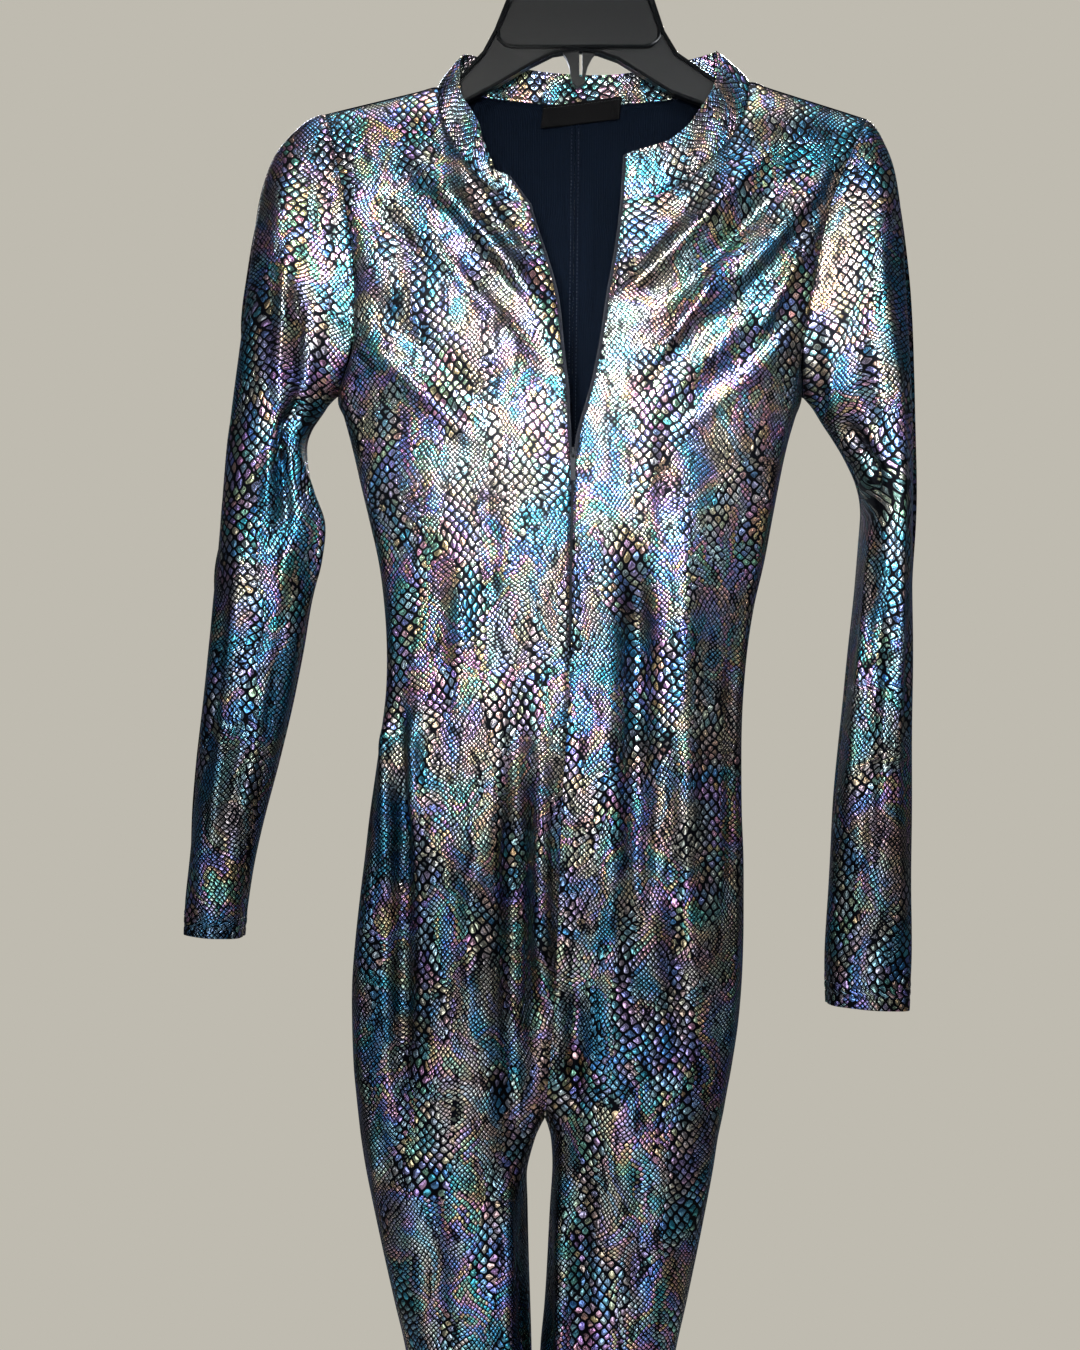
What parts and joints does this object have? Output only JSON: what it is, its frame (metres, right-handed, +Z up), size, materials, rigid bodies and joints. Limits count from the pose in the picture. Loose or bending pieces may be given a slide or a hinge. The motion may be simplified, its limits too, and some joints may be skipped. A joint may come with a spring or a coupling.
{
  "type": "unitard on a clothes hanger",
  "caption": "Long-sleeved zip-front stretch unitard with a stand collar, hanging on a moulded plastic hanger, front open to the chest",
  "frame": {"origin": "the inside top of the hanger's hook, where a rail carries it", "axes": "+Z up, the garment's front faces -Y, +X is the wearer's left"},
  "size_m": [0.5061, 0.0797, 1.6079],
  "materials": {
    "foil_knit": "holographic foil snakeskin print on stretch knit, matte navy wrong side",
    "label_weave": "plain black woven",
    "zip_tape": "dark navy knitted zip tape with nylon coil",
    "zip_metal": "dark enamel",
    "hanger_plastic": "moulded black polystyrene, semi-gloss ribs and satin web"
  },
  "bodies": {
    "unitard": {"front_left": "foil_knit", "front_right": "foil_knit", "back_left": "foil_knit", "back_right": "foil_knit", "sleeve_left": "foil_knit", "sleeve_right": "foil_knit", "collar": "foil_knit", "label": "label_weave", "zip_tape_left": "zip_tape", "zip_tape_right": "zip_tape", "zip_slider": "zip_metal", "hanger": "hanger_plastic"},
    "pull": {"zip_pull": "zip_metal"}
  },
  "joints": [
    {"name": "pull_swing", "type": "hinge", "parent": "unitard", "child": "pull", "pos_m": [-0.00073, -0.04363, -0.427], "axis": [-1, 0, 0], "range_deg": [0, 170]}
  ]
}
